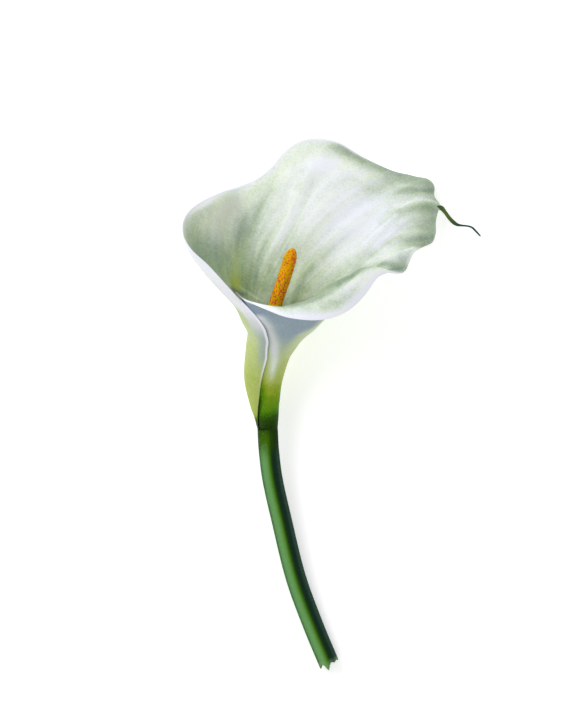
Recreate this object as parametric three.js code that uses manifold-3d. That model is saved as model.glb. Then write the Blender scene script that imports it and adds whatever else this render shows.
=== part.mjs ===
// Arum lily flower on its cut stalk, laid down on its back.
// Millimetres. X runs to the right and Y from the cut end toward the mouth, as the flower is
// looked down on. Z is up from the table, and the origin is on the table under its middle.
import * as THREE from "three";
import Module from "manifold-3d";
import { mergeVertices } from "three/addons/utils/BufferGeometryUtils.js";

// Sizes of the whole
const STALK_RADIUS = 5.1;
const NECK_RADIUS = 2.6;
const SPADIX_RADIUS = 3.1;
// Length over which the club narrows to its tip
const SPADIX_TIP = 7.5;
const SHEET_THICKNESS = 0.9;
const SEAT_GAP = 0.1;

// The stalk's axis, from the cut end to the shoulder that carries the spathe: x, y, z
const STALK_AXIS = [
  [-1.5, -129.6, 5.1],
  [-10.5, -107.8, 5.6],
  [-18.2, -86.3, 7.0],
  [-25.2, -57.8, 9.6],
  [-29.7, -37.8, 11.9],
  [-31.6, -22.8, 13.7],
];
// The axis goes on through the neck into the spadix, up to its tip
const SPADIX_SEAT = 2;
const SPADIX_AXIS = [
  [-32.6, -6.5, 16.1],
  [-33.0, -3.5, 16.8],
  [-33.1, -1.8, 17.3],
  [-33.0, 12.3, 22.5],
  [-32.0, 29.8, 29.5],
  [-28.5, 49.0, 36.0],
  [-23.7, 63.8, 41.0],
  [-19.4, 78.0, 45.9],
];

// Reach of the torn fibres past the cut, every 15 degrees round the stalk from its left side
const TORN_END = [
  1.0, -0.5, -1.1, -1.3, 0.8, 3.4, 1.2, -0.3, 0.6, 0.3, -1.0, -1.2,
  -0.8, 0.2, -0.7, 0.6, -0.8, 0.3, 0.9, -0.4, 0.5, -0.9, 0.7, -0.2,
];
const TORN_PITH_RADIUS = 0.58;
const TORN_PITH_DEPTH = 1.9;
const TORN_PITH_REACH = 0.4;
const TORN_PITH_TURN = 7;
const PITH_CONE = 0.5;
// The round skin starts this share of the stalk above the torn edge
const TORN_FADE = 0.03;

// Rings of the rolled tube: place along the sheet, centre x, y, z, half width, half depth,
// angle of the outer margin, angle of the inner margin, how far the outer margin stands out,
// how far the inner margin is tucked in. Angles go from the side that faces up, right positive.
const TUBE_RINGS = [
  [0.00, -32.2, -12.2, 15.2, 4.6, 4.6, 274, -93, 0.05, 1.20],
  [0.07, -32.6, -5.8, 16.4, 5.5, 5.4, 303, -90, 0.40, 1.05],
  [0.15, -33.5, 1.2, 18.0, 6.9, 6.6, 330, -84, 0.70, 0.95],
  [0.27, -34.1, 13.8, 21.6, 9.2, 8.6, 352, -72, 0.85, 0.85],
  [0.39, -31.8, 26.8, 26.2, 10.9, 10.4, 360, -60, 0.85, 0.85],
  [0.48, -29.2, 34.8, 29.6, 13.2, 12.3, 354, -57, 0.92, 1.18],
  [0.56, -27.6, 41.8, 33.0, 18.4, 15.3, 348, -56, 1.00, 1.50],
];
const MARGIN_REACH = 0.3;
// The outer half of the sheet is spread further round the tube near its margin
const MARGIN_SPREAD = 1.0;

// The rim from the outer margin round the far side to the inner margin: x, y, z, then the
// heading and rise of the sheet as it arrives there, its pull, and its pull out of the tube
const RIM = [
  [-47.0, 53.0, 52.0, 170, 82, 0.7, 1.0],
  [-51.0, 56.5, 54.5, 208, 101, 1.1, 1.0],
  [-56.5, 62.5, 57.5, 212, 110, 1.25, 1.1],
  [-63.0, 70.0, 59.5, 210, 116, 1.15, 1.3],
  [-69.8, 76.7, 59.5, 204, 113, 1.0, 1.6],
  [-74.0, 83.4, 57.0, 192, 98, 0.8, 1.5],
  [-74.7, 89.8, 52.5, 180, 80, 0.7, 1.3],
  [-72.7, 94.9, 46.0, 165, 62, 0.6, 1.15],
  [-69.3, 98.6, 38.5, 150, 45, 0.6, 1.0],
  [-63.4, 102.4, 26.5, 140, 28, 0.6, 0.9],
  [-55.1, 106.3, 11.5, 130, 8, 0.6, 0.9],
  [-48.2, 108.5, 1.0, 125, -6, 0.7, 0.9],
  [-41.3, 111.2, 0.9, 122, -12, 0.7, 0.9],
  [-35.2, 114.6, 2.2, 125, -14, 0.7, 0.9],
  [-29.7, 119.5, 3.6, 125, -16, 0.8, 0.9],
  [-24.1, 126.2, 4.6, 122, -20, 0.8, 0.9],
  [-16.3, 131.6, 5.4, 110, -24, 0.8, 0.9],
  [-7.0, 133.3, 5.6, 90, -25, 0.8, 0.9],
  [2.7, 131.3, 5.6, 75, -27, 0.8, 0.9],
  [11.9, 126.1, 4.6, 65, -30, 0.8, 0.85],
  [21.6, 120.8, 2.2, 60, -35, 0.8, 0.8],
  [32.3, 116.0, 0.1, 52, -38, 0.8, 0.75],
  [40.6, 114.6, 1.0, 43, -38, 0.8, 0.7],
  [47.5, 112.8, 4.0, 33, -36, 0.8, 0.65],
  [51.0, 109.3, 6.6, 20, -35, 0.8, 0.6],
  [51.6, 104.6, 8.0, 9, -35, 0.8, 0.57],
  [54.1, 100.5, 9.0, 0, -35, 0.8, 0.55],
  [52.4, 95.8, 10.5, -5, -35, 0.8, 0.5],
  [51.5, 90.8, 12.7, -10, -35, 0.8, 0.5],
  [52.0, 85.8, 15.7, -12, -35, 0.8, 0.5],
  [50.0, 81.3, 19.7, -15, -35, 0.8, 0.5],
  [44.6, 78.5, 24.5, -15, -35, 0.8, 0.5],
  [40.7, 76.1, 29.5, -15, -35, 0.8, 0.5],
  [38.4, 71.6, 36.0, -20, -35, 0.8, 0.5],
  [36.4, 66.9, 43.0, -25, -32, 0.9, 0.5],
  [31.6, 65.5, 49.5, -30, -28, 1.0, 0.5],
  [26.1, 66.0, 55.5, -38, -25, 1.2, 0.55],
  [21.7, 62.5, 61.0, -45, -22, 1.4, 0.55],
  [17.4, 56.5, 66.5, -55, -18, 1.6, 0.55],
  [12.5, 50.8, 71.0, -68, -14, 1.7, 0.6],
  [6.7, 46.3, 74.0, -78, -10, 1.7, 0.65],
  [0.3, 43.6, 75.5, -85, -6, 1.7, 0.75],
  [-7.0, 42.3, 76.0, -92, -2, 1.6, 0.8],
  [-15.5, 42.6, 75.0, -98, 3, 1.4, 0.9],
  [-23.5, 44.0, 72.0, -105, 10, 1.1, 0.9],
  [-31.0, 46.8, 67.0, -115, 20, 0.9, 0.9],
  [-38.5, 50.0, 59.0, -130, 35, 0.6, 0.9],
  [-44.0, 52.5, 52.0, 180, 45, 0.5, 0.9],
  [-48.0, 56.0, 47.5, 157, 25, 0.8, 0.9],
];
const TIP = 26;

// Soft folds along the veins, which start all round the tube and draw together at the tip:
// spacing across half the sheet, height, phase
const FOLDS = [
  [0.17, 0.50, 0.4],
  [0.116, 0.24, 2.0],
  [0.31, 0.36, 1.1],
];
// Where the folds rise: in the flare, past the outer margin and before the lip
const FOLD_FLARE = [0.02, 0.45];
const FOLD_OUTER = [0.03, 0.14];
const FOLD_LIP = [0.74, 0.84];
// Toward the rim they stay full round the tip and fall to a quarter elsewhere
const FOLD_RIM = [0.7, 1];
const FOLD_TIP_PLACE = 0.6;
const FOLD_TIP_WIDTH = 0.12;
const FOLD_REST = 0.25;
const MIDRIB_START = 0.42;
const MIDRIB_BEND = 0.8;
const VEIN_CONVERGENCE = 0.9;

// The green tail that the tip is drawn out into: x, y, z, radius
const TAIL = [
  [54.6, 98.5, 8.3, 1.2],
  [56.8, 96.2, 7.5, 0.95],
  [58.8, 93.5, 6.6, 0.95],
  [60.8, 91.4, 5.9, 1.0],
  [62.8, 90.1, 5.3, 0.8],
  [65.0, 89.7, 4.9, 0.5],
  [68.0, 89.4, 4.5, 0.45],
  [70.2, 88.7, 4.2, 0.5],
  [72.0, 87.0, 3.9, 0.5],
  [74.6, 84.2, 3.4, 0.4],
];
const TAIL_ROOT_PLACE = 0.96;
const TAIL_ROOT_DEPTH = 0.35;
const TAIL_ROOT_RADIUS = 0.45;

// Fineness of the meshes
const SHEET_COLUMNS = 64;
const TIP_CROWDING = 1.2;
const TUBE_ROWS = 12;
const LIMB_ROWS = 23;
const STALK_SIDES = 24;
const STALK_STEPS = 26;
const SPADIX_SIDES = 20;
const SPADIX_STEPS = 80;
const FLORET_HEIGHT = 0.32;
const SPADIX_BLUNTNESS = 0.03;
// How far the middle of the club's and of the tail's end stands out
const SPADIX_END = 0.2;
const TAIL_END = 0.5;
const TAIL_SIDES = 8;
const TAIL_STEPS = 24;
const SMALLEST_DETAIL = 0.01;
const SAME_POINT = 1e-5;
// Shares of a curve or of the sheet over which directions are taken
const STEP = 1e-3;
const LEAVING_STEP = 0.02;

const radians = THREE.MathUtils.degToRad;
const clamp = THREE.MathUtils.clamp;
const smoothstep = THREE.MathUtils.smoothstep;

// Smooth curve through rows of values at rising knots
function through(knots, rows, at) {
  const last = knots.length - 1;
  let i = 0;
  while (i < last - 1 && at >= knots[i + 1]) i += 1;
  const span = knots[i + 1] - knots[i];
  const t = clamp((at - knots[i]) / span, 0, 1);
  const slope = (k, c) => {
    const before = Math.max(k - 1, 0);
    const after = Math.min(k + 1, last);
    return (rows[after][c] - rows[before][c]) / (knots[after] - knots[before]);
  };
  return rows[i].map((value, c) => (
    (2 * t ** 3 - 3 * t ** 2 + 1) * value
    + (t ** 3 - 2 * t ** 2 + t) * span * slope(i, c)
    + (-2 * t ** 3 + 3 * t ** 2) * rows[i + 1][c]
    + (t ** 3 - t ** 2) * span * slope(i + 1, c)));
}

const vector = (row) => new THREE.Vector3(row[0], row[1], row[2]);

// Knots from 0 to 1 in step with the distance between the points
function knotsByLength(rows) {
  const knots = [0];
  for (let i = 1; i < rows.length; i += 1) {
    knots.push(knots[i - 1] + vector(rows[i]).distanceTo(vector(rows[i - 1])));
  }
  return knots.map((k) => k / knots[knots.length - 1]);
}

// Right and upward directions across a tangent that runs mostly level
function crossFrame(tangent) {
  const right = new THREE.Vector3().crossVectors(tangent, new THREE.Vector3(0, 0, 1)).normalize();
  return { right, up: new THREE.Vector3().crossVectors(right, tangent) };
}

const ringKnots = TUBE_RINGS.map((row) => row[0]);
const TUBE_END = ringKnots[ringKnots.length - 1];

function ringFrame(v) {
  const row = through(ringKnots, TUBE_RINGS, v);
  const ahead = through(ringKnots, TUBE_RINGS, Math.min(v + STEP, TUBE_END));
  const behind = through(ringKnots, TUBE_RINGS, Math.max(v - STEP, 0));
  const tangent = vector(ahead.slice(1)).sub(vector(behind.slice(1))).normalize();
  return { row, centre: vector(row.slice(1)), tangent, ...crossFrame(tangent) };
}

// Point of the rolled tube, u across the sheet from the outer to the inner margin
function tubePoint(u, v) {
  const { row, centre, right, up } = ringFrame(v);
  const [halfWidth, halfDepth, outer, inner, lift, tuck] = row.slice(4);
  const place = u < 0.5 ? u + MARGIN_SPREAD * u * (1 - 2 * u) ** 2 : u;
  const angle = radians(outer + (inner - outer) * place);
  const layer = lift * smoothstep(1 - place / MARGIN_REACH, 0, 1)
    - tuck * smoothstep(1 - (1 - place) / MARGIN_REACH, 0, 1);
  return centre
    .addScaledVector(right, (halfWidth + layer) * Math.sin(angle))
    .addScaledVector(up, (halfDepth + layer) * Math.cos(angle));
}

const rimKnots = knotsByLength(RIM);
const rimRows = RIM.map(([x, y, z, heading, rise, pull, start]) => [
  x, y, z,
  Math.cos(radians(heading)) * Math.cos(radians(rise)),
  Math.sin(radians(heading)) * Math.cos(radians(rise)),
  Math.sin(radians(rise)),
  pull, start,
]);

// Point of the sheet's middle surface: the tube first, then the flare out to the rim
function sheetPoint(u, v) {
  if (v <= TUBE_END) return tubePoint(u, v);
  const t = (v - TUBE_END) / (1 - TUBE_END);
  const from = tubePoint(u, TUBE_END);
  const leaving = from.clone().sub(tubePoint(u, TUBE_END - LEAVING_STEP)).normalize();
  const row = through(rimKnots, rimRows, u);
  const to = vector(row);
  const arriving = vector(row.slice(3)).normalize();
  const length = to.distanceTo(from);
  return from.clone().multiplyScalar(2 * t ** 3 - 3 * t ** 2 + 1)
    .addScaledVector(leaving, (t ** 3 - 2 * t ** 2 + t) * length * row[7])
    .addScaledVector(to, -2 * t ** 3 + 3 * t ** 2)
    .addScaledVector(arriving, (t ** 3 - t ** 2) * length * row[6]);
}

// Direction out of the flower, across the sheet
function sheetNormal(u, v) {
  const across = sheetPoint(Math.min(u + STEP, 1), v).sub(sheetPoint(Math.max(u - STEP, 0), v));
  const along = sheetPoint(u, Math.min(v + STEP, 1)).sub(sheetPoint(u, Math.max(v - STEP, 0)));
  return along.cross(across).normalize();
}

// Place across the veins, from -1 at the outer margin over 0 at the midrib to 1
function veinPlace(u, v) {
  const t = clamp((v - TUBE_END) / (1 - TUBE_END), 0, 1);
  const midrib = MIDRIB_START + (rimKnots[TIP] - MIDRIB_START) * t ** MIDRIB_BEND;
  const place = u < midrib ? (u - midrib) / midrib : (u - midrib) / (1 - midrib);
  return place * (1 + VEIN_CONVERGENCE * t ** 1.2 * (1 - Math.abs(place)));
}

// 1 at the columns that lead to the tip, falling off to both sides
function nearTip(u) {
  return Math.exp(-(((u - FOLD_TIP_PLACE) / FOLD_TIP_WIDTH) ** 2));
}

// Height of the folds: none in the tube, on the lip or at the margins, most toward the tip
function foldHeight(u, v) {
  const place = veinPlace(u, v);
  const t = clamp((v - TUBE_END) / (1 - TUBE_END), 0, 1);
  let height = 0;
  for (const [spacing, amount, phase] of FOLDS) {
    height += amount * Math.cos(2 * Math.PI * place / spacing + phase);
  }
  const across = (1 - smoothstep(u, ...FOLD_LIP)) * smoothstep(u, ...FOLD_OUTER);
  const body = smoothstep(t, ...FOLD_FLARE) * across;
  const towardTip = Math.min(nearTip(u) + FOLD_REST, 1);
  return height * body * (1 - smoothstep(t, ...FOLD_RIM) * (1 - towardTip));
}

// Columns across the sheet, closer together round the tip
function sheetColumns() {
  const samples = 2000;
  const total = [0];
  for (let i = 1; i <= samples; i += 1) {
    total.push(total[i - 1] + 1 + TIP_CROWDING * nearTip(i / samples));
  }
  const columns = [];
  for (let c = 0, i = 0; c <= SHEET_COLUMNS; c += 1) {
    while (i < samples && total[i] < (total[samples] * c) / SHEET_COLUMNS) i += 1;
    columns.push(i / samples);
  }
  return columns;
}

function sheetRows() {
  const rows = [];
  for (let r = 0; r <= TUBE_ROWS; r += 1) rows.push((TUBE_END * r) / TUBE_ROWS);
  for (let r = 1; r <= LIMB_ROWS; r += 1) rows.push(TUBE_END + ((1 - TUBE_END) * r) / LIMB_ROWS);
  return rows;
}

function geometryOf(points, faces) {
  const geometry = new THREE.BufferGeometry();
  const places = points.flatMap((point) => point.toArray());
  geometry.setAttribute("position", new THREE.Float32BufferAttribute(places, 3));
  geometry.setIndex(faces.flat());
  return geometry;
}

// The bract as one closed sheet, with both faces split into triangles alike
function sheetGeometry() {
  const columns = sheetColumns();
  const rows = sheetRows();
  const wide = columns.length;
  const points = [];
  for (const side of [1, -1]) {
    for (const v of rows) {
      for (const u of columns) {
        const normal = sheetNormal(u, v);
        const reach = foldHeight(u, v) + (side * SHEET_THICKNESS) / 2;
        points.push(sheetPoint(u, v).addScaledVector(normal, reach));
      }
    }
  }
  const inside = wide * rows.length;
  const faces = [];
  const quad = (a, b, c, d) => faces.push([a, b, c], [a, c, d]);
  for (let r = 0; r + 1 < rows.length; r += 1) {
    for (let c = 0; c + 1 < wide; c += 1) {
      const a = r * wide + c;
      quad(a, a + wide, a + wide + 1, a + 1);
      faces.push([inside + a, inside + a + wide + 1, inside + a + wide]);
      faces.push([inside + a, inside + a + 1, inside + a + wide + 1]);
    }
    const outer = r * wide;
    const inner = outer + wide - 1;
    quad(outer, inside + outer, inside + outer + wide, outer + wide);
    quad(inner, inner + wide, inside + inner + wide, inside + inner);
  }
  const top = (rows.length - 1) * wide;
  for (let c = 0; c + 1 < wide; c += 1) {
    quad(c, c + 1, inside + c + 1, inside + c);
    quad(top + c, inside + top + c, inside + top + c + 1, top + c + 1);
  }
  return geometryOf(points, faces);
}

// Closed body from rings of points, with a middle point at each end
function ringBody(rings, startCentre, endCentre) {
  const sides = rings[0].length;
  const points = rings.flat();
  const faces = [];
  for (let r = 0; r + 1 < rings.length; r += 1) {
    for (let s = 0; s < sides; s += 1) {
      const a = r * sides + s;
      const b = r * sides + ((s + 1) % sides);
      faces.push([a, b, b + sides], [a, b + sides, a + sides]);
    }
  }
  const start = points.push(startCentre) - 1;
  const end = points.push(endCentre) - 1;
  const last = (rings.length - 1) * sides;
  for (let s = 0; s < sides; s += 1) {
    faces.push([start, (s + 1) % sides, s]);
    faces.push([end, last + s, last + ((s + 1) % sides)]);
  }
  return geometryOf(points, faces);
}

// Ring of points round a centre; radius and reach along the tangent may vary with the angle
function ring(centre, tangent, sides, radius, reach = () => 0) {
  const { right, up } = crossFrame(tangent);
  const points = [];
  for (let s = 0; s < sides; s += 1) {
    const angle = (2 * Math.PI * s) / sides - Math.PI / 2;
    points.push(centre.clone()
      .addScaledVector(right, radius(s) * Math.sin(angle))
      .addScaledVector(up, radius(s) * Math.cos(angle))
      .addScaledVector(tangent, reach(s)));
  }
  return points;
}

// Place and direction along a curve through rows of points, with any further columns
function along(rows, knots, at) {
  const row = through(knots, rows, at);
  const ahead = vector(through(knots, rows, Math.min(at + STEP, 1)));
  const behind = vector(through(knots, rows, Math.max(at - STEP, 0)));
  return { row, centre: vector(row), tangent: ahead.sub(behind).normalize() };
}

// One axis through the stalk, the neck and the spadix
const base = ringFrame(0);
const axisRows = [...STALK_AXIS, base.centre.toArray(), ...SPADIX_AXIS];
const axisKnots = knotsByLength(axisRows);
const shoulderAt = axisKnots[STALK_AXIS.length];
const seatAt = axisKnots[STALK_AXIS.length + 1 + SPADIX_SEAT];

function scapeGeometry() {
  const rings = [];
  const cut = along(axisRows, axisKnots, 0);
  const pith = cut.centre.clone().addScaledVector(cut.tangent, TORN_PITH_DEPTH);
  rings.push(ring(pith, cut.tangent, STALK_SIDES, () => STALK_RADIUS * TORN_PITH_RADIUS,
    (s) => TORN_PITH_REACH * TORN_END[(s + TORN_PITH_TURN) % STALK_SIDES]));
  rings.push(ring(cut.centre, cut.tangent, STALK_SIDES, () => STALK_RADIUS, (s) => -TORN_END[s]));
  for (let i = 1; i < STALK_STEPS; i += 1) {
    const share = TORN_FADE + ((1 - TORN_FADE) * i) / STALK_STEPS;
    const { centre, tangent } = along(axisRows, axisKnots, shoulderAt * share);
    rings.push(ring(centre, tangent, STALK_SIDES, () => STALK_RADIUS));
  }
  const shoulder = base.centre.clone().addScaledVector(base.tangent, -SEAT_GAP);
  rings.push(ring(shoulder, base.tangent, STALK_SIDES, () => STALK_RADIUS));
  rings.push(ring(shoulder, base.tangent, STALK_SIDES, () => NECK_RADIUS));
  for (const share of [0.5, 1]) {
    const { centre, tangent } = along(axisRows, axisKnots, shoulderAt + (seatAt - shoulderAt) * share);
    rings.push(ring(centre, tangent, STALK_SIDES, () => NECK_RADIUS));
  }
  return ringBody(rings, pith.clone().addScaledVector(cut.tangent, PITH_CONE),
    along(axisRows, axisKnots, seatAt).centre);
}

// The club: florets stand out as a close pattern of points, and the tip is rounded
function spadixGeometry() {
  const start = along(axisRows, axisKnots, seatAt);
  const end = along(axisRows, axisKnots, 1);
  const length = (1 - seatAt) * knotsLength(axisRows);
  const rings = [];
  for (let i = 0; i <= SPADIX_STEPS; i += 1) {
    const share = i / SPADIX_STEPS;
    const { centre, tangent } = along(axisRows, axisKnots, seatAt + (1 - seatAt) * share);
    const toTip = Math.min(((1 - share) * length) / SPADIX_TIP, 1);
    const round = Math.sqrt(Math.max(1 - (1 - toTip) ** 2, SPADIX_BLUNTNESS));
    const floret = i === 0 ? 0 : FLORET_HEIGHT * round;
    rings.push(ring(centre.addScaledVector(tangent, i === 0 ? SEAT_GAP : 0), tangent, SPADIX_SIDES,
      (s) => SPADIX_RADIUS * round + ((s + i) % 2 ? floret : 0)));
  }
  return ringBody(rings, start.centre.addScaledVector(start.tangent, SEAT_GAP),
    end.centre.addScaledVector(end.tangent, SPADIX_END));
}

function knotsLength(rows) {
  let length = 0;
  for (let i = 1; i < rows.length; i += 1) length += vector(rows[i]).distanceTo(vector(rows[i - 1]));
  return length;
}

// The tail grows out of the sheet just inside the tip of the rim
function tailGeometry() {
  const tip = rimKnots[TIP];
  const depth = foldHeight(tip, TAIL_ROOT_PLACE) + TAIL_ROOT_DEPTH;
  const root = sheetPoint(tip, TAIL_ROOT_PLACE).addScaledVector(sheetNormal(tip, TAIL_ROOT_PLACE), depth);
  const rows = [[...root.toArray(), TAIL_ROOT_RADIUS], ...TAIL];
  const knots = knotsByLength(rows);
  const rings = [];
  for (let i = 0; i <= TAIL_STEPS; i += 1) {
    const { row, centre, tangent } = along(rows, knots, i / TAIL_STEPS);
    rings.push(ring(centre, tangent, TAIL_SIDES, () => row[3]));
  }
  const end = along(rows, knots, 1);
  const tailEnd = end.centre.addScaledVector(end.tangent, TAIL_END);
  return ringBody(rings, along(rows, knots, 0).centre, tailEnd);
}

const wasm = await Module();
wasm.setup();

function solidOf(geometry) {
  const merged = mergeVertices(geometry, SAME_POINT);
  return new wasm.Manifold(new wasm.Mesh({
    numProp: 3,
    vertProperties: new Float32Array(merged.attributes.position.array),
    triVerts: new Uint32Array(merged.index.array),
  }));
}

function joined(first, second) {
  const mesh = solidOf(first).add(solidOf(second)).simplify(SMALLEST_DETAIL).getMesh();
  const geometry = new THREE.BufferGeometry();
  geometry.setAttribute("position", new THREE.Float32BufferAttribute(mesh.vertProperties, 3));
  geometry.setIndex([...mesh.triVerts]);
  return geometry;
}

function piece(name, geometry, colour, roughness) {
  geometry.computeVertexNormals();
  const material = new THREE.MeshStandardMaterial({ color: colour, roughness, metalness: 0 });
  const mesh = new THREE.Mesh(geometry, material);
  mesh.name = name;
  return mesh;
}

const flower = new THREE.Group();
flower.name = "arum_lily";
flower.add(piece("scape", scapeGeometry(), 0x4f8440, 0.45));
flower.add(piece("spathe", joined(sheetGeometry(), tailGeometry()), 0xeef1e6, 0.5));
flower.add(piece("spadix", spadixGeometry(), 0xe8980f, 0.7));

export default flower;
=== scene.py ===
import functools
import math

import bpy
import numpy as np
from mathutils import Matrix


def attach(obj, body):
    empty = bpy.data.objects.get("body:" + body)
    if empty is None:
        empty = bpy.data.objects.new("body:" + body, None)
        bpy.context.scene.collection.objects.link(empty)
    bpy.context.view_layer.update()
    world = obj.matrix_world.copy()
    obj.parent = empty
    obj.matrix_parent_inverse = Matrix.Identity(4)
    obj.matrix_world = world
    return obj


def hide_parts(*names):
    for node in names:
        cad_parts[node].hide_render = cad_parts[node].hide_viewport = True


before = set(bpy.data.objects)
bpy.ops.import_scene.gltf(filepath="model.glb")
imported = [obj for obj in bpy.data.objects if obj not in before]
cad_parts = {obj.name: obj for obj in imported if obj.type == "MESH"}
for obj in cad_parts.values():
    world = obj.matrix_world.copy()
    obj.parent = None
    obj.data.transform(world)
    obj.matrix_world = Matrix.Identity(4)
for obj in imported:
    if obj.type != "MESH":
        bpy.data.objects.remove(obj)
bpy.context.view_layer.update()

# Sizes and places are millimetres, and pieces are made in metres.
MM = 0.001
STALK_RADIUS = 5.1
SPADIX_RADIUS = 3.1
SPADIX_TIP = 7.5
NECK_RADIUS = 2.6
SHEET_THICKNESS = 0.9
SEAT_GAP = 0.1

# The stalk's axis, the tube's foot, and the axis on through the neck and the club
STALK_AXIS = [
    (-1.5, -129.6, 5.1), (-10.5, -107.8, 5.6), (-18.2, -86.3, 7),
    (-25.2, -57.8, 9.6), (-29.7, -37.8, 11.9), (-31.6, -22.8, 13.7),
]
SPADIX_SEAT = 2
SPADIX_AXIS = [
    (-32.6, -6.5, 16.1), (-33, -3.5, 16.8), (-33.1, -1.8, 17.3), (-33, 12.3, 22.5),
    (-32, 29.8, 29.5), (-28.5, 49, 36), (-23.7, 63.8, 41), (-19.4, 78, 45.9),
]
TORN_END = [
    1.0, -0.5, -1.1, -1.3, 0.8, 3.4, 1.2, -0.3, 0.6, 0.3, -1.0, -1.2,
    -0.8, 0.2, -0.7, 0.6, -0.8, 0.3, 0.9, -0.4, 0.5, -0.9, 0.7, -0.2,
]
TORN_PITH_DEPTH = 1.9

# Rings of the tube: place along the sheet, centre, half width, half depth, angles of the outer
# and inner margin, how far the outer margin stands out, how far the inner one is tucked in
TUBE_RINGS = np.array([
    (0, -32.2, -12.2, 15.2, 4.6, 4.6, 274, -93, 0.05, 1.2),
    (0.07, -32.6, -5.8, 16.4, 5.5, 5.4, 303, -90, 0.4, 1.05),
    (0.15, -33.5, 1.2, 18, 6.9, 6.6, 330, -84, 0.7, 0.95),
    (0.27, -34.1, 13.8, 21.6, 9.2, 8.6, 352, -72, 0.85, 0.85),
    (0.39, -31.8, 26.8, 26.2, 10.9, 10.4, 360, -60, 0.85, 0.85),
    (0.48, -29.2, 34.8, 29.6, 13.2, 12.3, 354, -57, 0.92, 1.18),
    (0.56, -27.6, 41.8, 33, 18.4, 15.3, 348, -56, 1, 1.5),
])
MARGIN_REACH = 0.3
MARGIN_SPREAD = 1.0

# The rim from the outer margin round to the inner one: place, heading and rise of the sheet
# as it arrives there, its pull, and its pull out of the tube
RIM = np.array([
    (-47, 53, 52, 170, 82, 0.7, 1), (-50.4, 56.8, 54.5, 208, 106, 1.3, 1.05),
    (-55.8, 62.8, 57.5, 212, 115, 1.5, 1.1), (-62.6, 70.1, 59.5, 210, 119, 1.3, 1.35),
    (-69.8, 76.7, 59.5, 204, 113, 1, 1.6), (-74, 83.4, 57, 192, 98, 0.8, 1.5),
    (-74.7, 89.8, 52.5, 180, 80, 0.7, 1.3), (-72.7, 94.9, 46, 165, 62, 0.6, 1.15),
    (-69.3, 98.6, 38.5, 150, 45, 0.6, 1), (-63.4, 102.4, 26.5, 140, 28, 0.6, 0.9),
    (-55.1, 106.3, 11.5, 130, 8, 0.6, 0.9), (-48.2, 108.5, 1, 125, -6, 0.7, 0.9),
    (-41.3, 111.2, 0.9, 122, -12, 0.7, 0.9), (-35.2, 114.6, 2.2, 125, -14, 0.7, 0.9),
    (-29.7, 119.5, 3.6, 125, -16, 0.8, 0.9), (-24.1, 126.2, 4.6, 122, -20, 0.8, 0.9),
    (-16.3, 131.6, 5.4, 110, -24, 0.8, 0.9), (-7, 133.3, 5.6, 90, -25, 0.8, 0.9),
    (2.7, 131.3, 5.6, 75, -27, 0.8, 0.9), (11.9, 126.1, 4.6, 65, -30, 0.8, 0.85),
    (21.6, 120.8, 2.2, 60, -35, 0.8, 0.8), (32.3, 116, 0.1, 52, -38, 0.8, 0.75),
    (40.6, 114.6, 1, 43, -38, 0.8, 0.7), (47.5, 112.8, 4, 33, -36, 0.8, 0.65),
    (51, 109.3, 6.6, 20, -35, 0.8, 0.6), (51.6, 104.6, 8, 9, -35, 0.8, 0.57),
    (54.1, 100.5, 9, 0, -35, 0.8, 0.55), (52.4, 95.8, 10.5, -5, -35, 0.8, 0.5),
    (51.5, 90.8, 12.7, -10, -35, 0.8, 0.5), (52, 85.8, 15.7, -12, -35, 0.8, 0.5),
    (50, 81.3, 19.7, -15, -35, 0.8, 0.5), (44.6, 78.5, 24.5, -15, -35, 0.8, 0.5),
    (40.7, 76.1, 29.5, -15, -35, 0.8, 0.5), (38.4, 71.6, 36, -20, -35, 0.8, 0.5),
    (36.4, 66.9, 43, -25, -32, 0.9, 0.5), (31.6, 65.5, 49.5, -30, -28, 1, 0.5),
    (26.1, 66, 55.5, -38, -25, 1.2, 0.55), (21.7, 62.5, 61, -45, -22, 1.4, 0.55),
    (17.4, 56.5, 66.5, -55, -18, 1.6, 0.55), (12.5, 50.8, 71, -68, -14, 1.7, 0.6),
    (6.7, 46.3, 74, -78, -10, 1.7, 0.65), (0.3, 43.6, 75.5, -85, -6, 1.7, 0.75),
    (-7, 42.3, 76, -92, -2, 1.6, 0.8), (-15.5, 42.6, 75, -98, 3, 1.4, 0.9),
    (-23.5, 44, 72, -105, 10, 1.1, 0.9), (-31, 46.8, 67, -115, 20, 0.9, 0.9),
    (-38.5, 50, 59, -130, 35, 0.6, 0.9), (-44, 52.5, 52, 180, 45, 0.5, 0.9),
    (-48, 56, 47.5, 157, 25, 0.8, 0.9),
])
TIP = 26

# Folds along the veins: spacing across half the sheet, height, phase
FOLDS = [(0.17, 0.5, 0.4), (0.116, 0.24, 2.0), (0.31, 0.36, 1.1)]
MIDRIB_START = 0.42
MIDRIB_BEND = 0.8
VEIN_CONVERGENCE = 0.9
CONVERGENCE_BEND = 1.2
# The folds rise along the flare, start in from the outer margin and end before the lip. At the rim
# they calm down to a share of their height, except round the tip.
FOLDS_RISE = (0.02, 0.45)
FOLDS_START = (0.03, 0.14)
FOLDS_END = (0.74, 0.84)
FOLDS_CALM = (0.7, 1)
RIM_FOLD_SHARE = 0.25
TIP_PLACE = 0.6
TIP_WIDTH = 0.12

# The green tail: x, y, z, radius
TAIL = [
    (54.6, 98.5, 8.3, 1.2), (56.8, 96.2, 7.5, 0.95), (58.8, 93.5, 6.6, 0.95),
    (60.8, 91.4, 5.9, 1), (62.8, 90.1, 5.3, 0.8), (65, 89.7, 4.9, 0.5),
    (68, 89.4, 4.5, 0.45), (70.2, 88.7, 4.2, 0.5), (72, 87, 3.9, 0.5), (74.6, 84.2, 3.4, 0.4),
]
TAIL_ROOT_DEPTH = 0.35
TAIL_ROOT_RADIUS = 0.45
TAIL_ROOT_AT = 0.96
TAIL_END = 0.025
TAIL_GROOVES = 3
TAIL_GROOVE_DEPTH = 0.06

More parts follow.
